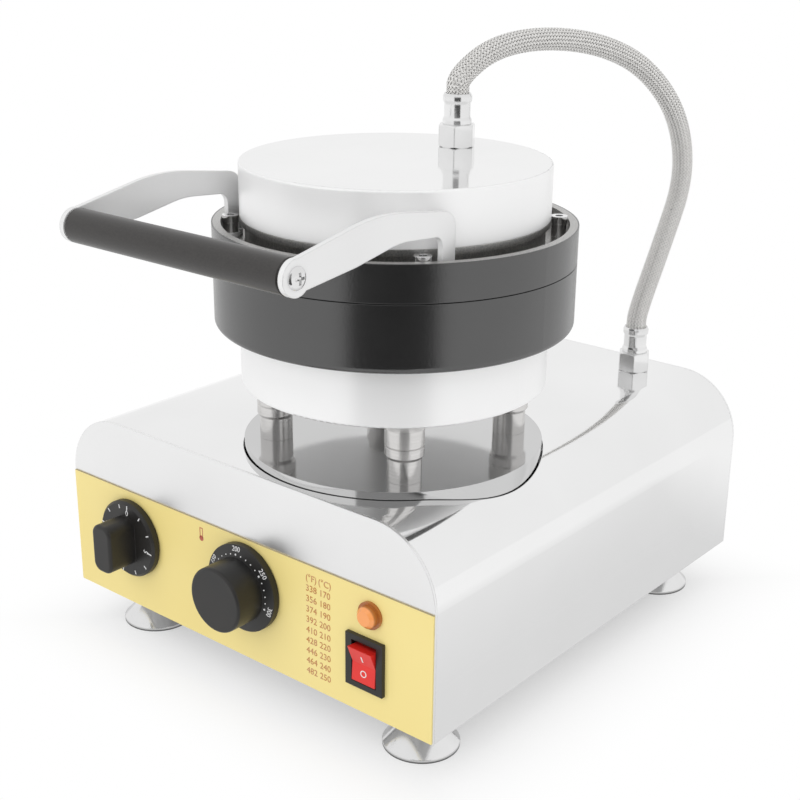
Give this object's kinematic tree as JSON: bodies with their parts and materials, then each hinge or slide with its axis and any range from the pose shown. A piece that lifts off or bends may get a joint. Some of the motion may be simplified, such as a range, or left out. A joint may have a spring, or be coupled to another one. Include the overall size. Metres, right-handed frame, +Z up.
{
  "type": "waffle cone maker",
  "caption": "Countertop waffle cone baker: polished steel base with dials, a round hinged two-plate baking head on pillars, arched handle and braided hose.",
  "frame": {"origin": "on the floor under the middle of the object's outline without its hose", "axes": "+X to the right of a person at the controls, +Y to the rear, +Z up"},
  "size_m": [0.283, 0.4072, 0.3673],
  "materials": {
    "polished_steel": "mirror-polished stainless sheet",
    "yellow_panel": "satin printed control panel",
    "black_cast": "black non-stick coated casting",
    "chrome_plate": "bright chrome plate",
    "turned_steel": "fine turned steel",
    "plain_steel": "zinc plated steel",
    "black_plastic": "black moulded plastic",
    "grip_black": "black heat-proof sleeve",
    "red_plastic": "red moulded plastic",
    "amber_lens": "amber lamp lens",
    "braid": "stainless wire braid",
    "wool": "mineral wool pad",
    "heater_sheath": "oxidised heater sheath"
  },
  "bodies": {
    "base": {"casing_wrap": "polished_steel", "front_plate": "polished_steel", "rear_plate": "polished_steel", "control_panel": "yellow_panel", "floor_plate": "plain_steel", "floor_screws": "plain_steel", "foot_studs": "plain_steel", "drum_pedestal": "polished_steel", "support_bridge": "plain_steel", "pillar_fasteners": "plain_steel", "lower_cup": "polished_steel", "lower_plate": "black_cast", "lower_heater": "heater_sheath", "lower_clamp_plate": "plain_steel", "lower_insulation": "wool", "lower_heater_bolt": "plain_steel", "thermostat_bulb": "turned_steel", "lower_hinge_bracket": "plain_steel", "hinge_pin": "turned_steel", "lower_hinge_bolts": "plain_steel", "hose": "braid", "hose_nut_base": "chrome_plate", "hose_ferrule_base": "chrome_plate", "hose_nipple_base": "turned_steel", "timer_body": "black_plastic", "thermostat_body": "plain_steel", "rocker_housing": "black_plastic", "indicator_lens": "amber_lens", "indicator_body": "black_plastic", "cable_gland": "black_plastic", "foot_front_left": "chrome_plate", "pillar_front_left": "turned_steel", "foot_front_right": "chrome_plate", "pillar_front_right": "turned_steel", "foot_rear_left": "chrome_plate", "pillar_rear_left": "turned_steel", "foot_rear_right": "chrome_plate", "pillar_rear_right": "turned_steel"},
    "lid": {"upper_plate": "black_cast", "upper_hinge_arm": "plain_steel", "upper_hinge_bolts": "plain_steel", "upper_heater": "heater_sheath", "upper_clamp_plate": "plain_steel", "upper_insulation": "wool", "upper_heater_bolt": "plain_steel", "upper_cover": "polished_steel", "standoff_screws": "chrome_plate", "handle_bracket_left": "polished_steel", "handle_bracket_right": "polished_steel", "handle_grip": "grip_black", "handle_rod": "plain_steel", "handle_screws": "chrome_plate", "hose_nut_top": "chrome_plate", "hose_ferrule_top": "chrome_plate", "hose_nipple_top": "turned_steel"},
    "timer_dial": {"timer_knob": "black_plastic", "timer_shaft": "turned_steel"},
    "thermostat_dial": {"thermostat_knob": "black_plastic", "thermostat_shaft": "turned_steel"},
    "power_rocker": {"rocker": "red_plastic"}
  },
  "joints": [
    {"name": "lid_hinge", "type": "hinge", "parent": "base", "child": "lid", "pos_m": [0.0385, 0.07552, 0.2571], "axis": [-1, 0, 0], "range_deg": [0, 95], "deforming": ["hose"]},
    {"name": "timer_turn", "type": "hinge", "parent": "base", "child": "timer_dial", "pos_m": [-0.0885, -0.12918, 0.0742], "axis": [0, 1, 0], "range_deg": [0, 300]},
    {"name": "thermostat_turn", "type": "hinge", "parent": "base", "child": "thermostat_dial", "pos_m": [0.008, -0.12918, 0.0747], "axis": [0, 1, 0], "range_deg": [0, 270]},
    {"name": "rocker_tilt", "type": "hinge", "parent": "base", "child": "power_rocker", "pos_m": [0.097, -0.12818, 0.0597], "axis": [-1, 0, 0], "range_deg": [0, 18]}
  ]
}
